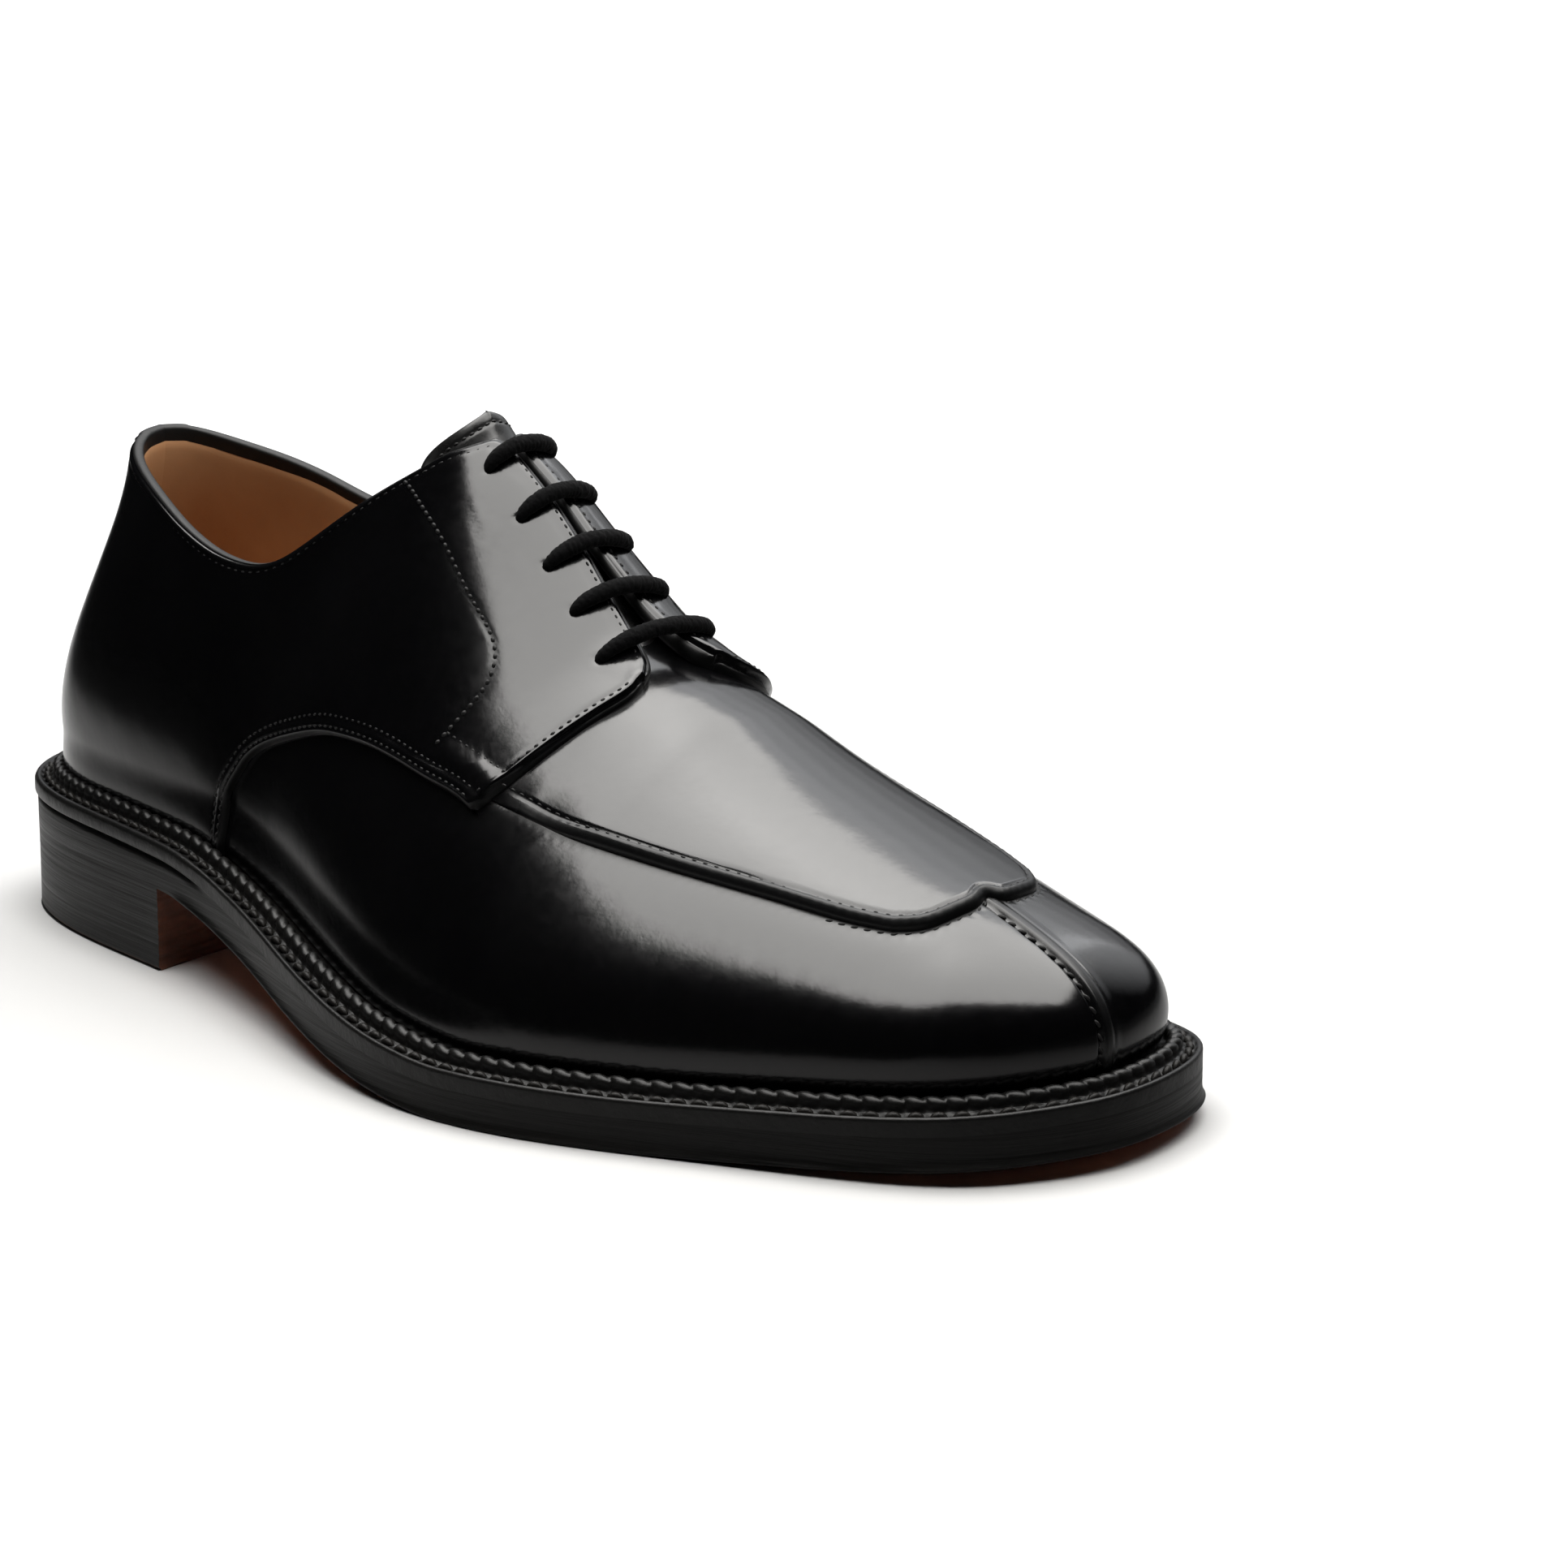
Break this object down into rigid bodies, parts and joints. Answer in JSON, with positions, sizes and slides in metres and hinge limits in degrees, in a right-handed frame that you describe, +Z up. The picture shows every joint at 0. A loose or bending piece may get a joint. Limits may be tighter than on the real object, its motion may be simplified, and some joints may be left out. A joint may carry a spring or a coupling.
{
  "type": "derby shoe",
  "caption": "Right black leather derby shoe with a raised apron, a split toe seam, open lacing, a beaded storm welt and a stacked heel; worn on a foot.",
  "frame": {"origin": "middle of the outline's box, on the floor the heel and the forefoot stand on", "axes": "+X from heel to toe, +Y to the inner (medial) side, +Z up"},
  "size_m": [0.309, 0.119, 0.1173],
  "materials": {
    "upper_leather": "polished black calf leather",
    "tongue_leather": "black calf leather, less polished",
    "lining_leather": "smooth tan lining leather",
    "welt_leather": "black waxed leather",
    "sole_leather": "brown oak leather, black waxed edge",
    "heel_leather": "stacked leather lifts, black waxed edge",
    "heel_rubber": "black rubber and leather top piece",
    "lace_cord": "matt black waxed cotton cord"
  },
  "bodies": {
    "root": {"upper": "upper_leather", "quarter_lateral": "upper_leather", "quarter_medial": "upper_leather", "apron": "upper_leather", "toe_seam": "upper_leather", "tongue": "tongue_leather", "insole": "lining_leather", "welt": "welt_leather", "outsole": "sole_leather", "heel_stack": "heel_leather", "heel_top_piece": "heel_rubber", "lace_bar_1": "lace_cord", "lace_bar_2": "lace_cord", "lace_bar_3": "lace_cord", "lace_bar_4": "lace_cord", "lace_bar_5": "lace_cord"}
  },
  "joints": []
}
